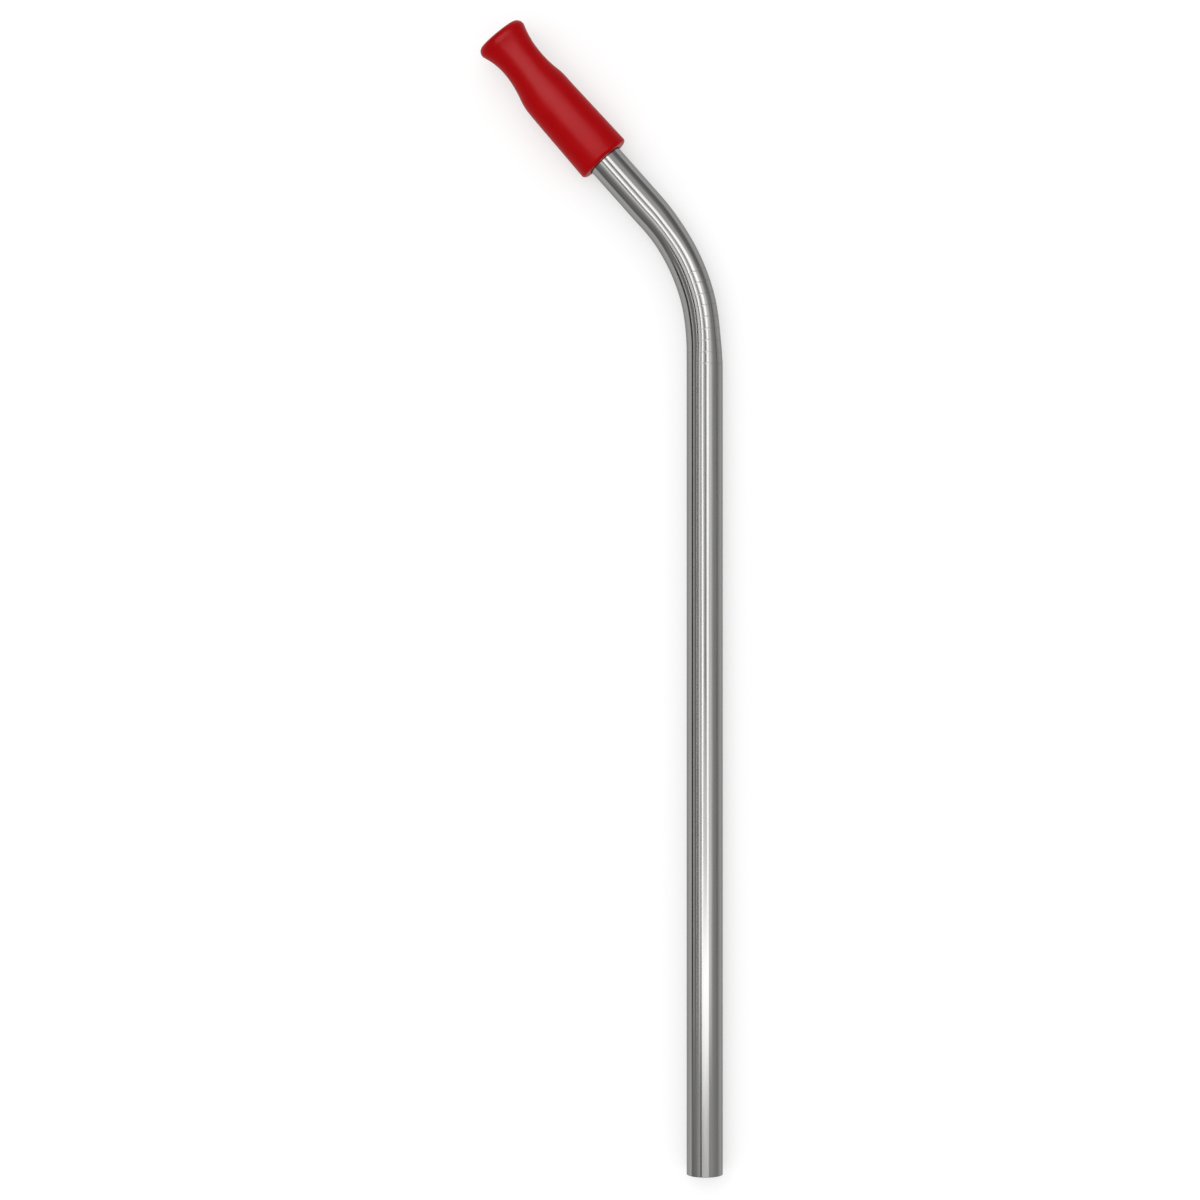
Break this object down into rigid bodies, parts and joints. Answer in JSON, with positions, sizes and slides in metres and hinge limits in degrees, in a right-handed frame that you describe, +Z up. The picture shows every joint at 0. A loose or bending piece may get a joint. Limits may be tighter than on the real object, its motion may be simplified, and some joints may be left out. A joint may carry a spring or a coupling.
{
  "type": "stainless steel straw",
  "caption": "Bent stainless steel drinking straw with a soft red silicone tip that pulls off its upper end.",
  "frame": {"origin": "on the surface that the straw lies on, under the middle of its box", "axes": "+Y along the long leg towards the bend, +Z up from the surface; the upper leg and tip lean towards -X"},
  "size_m": [0.0536, 0.2546, 0.0141],
  "materials": {
    "steel": "bright drawn steel with fine lines along the tube",
    "silicone": "smooth satin red silicone"
  },
  "bodies": {
    "tube": {"steel_tube": "steel"},
    "tip": {"silicone_tip": "silicone"}
  },
  "joints": [
    {"name": "tip_pull", "type": "slide", "parent": "tube", "child": "tip", "axis": [-0.6615, 0.7472, 0.0636], "range_m": [0, 0.024]}
  ]
}
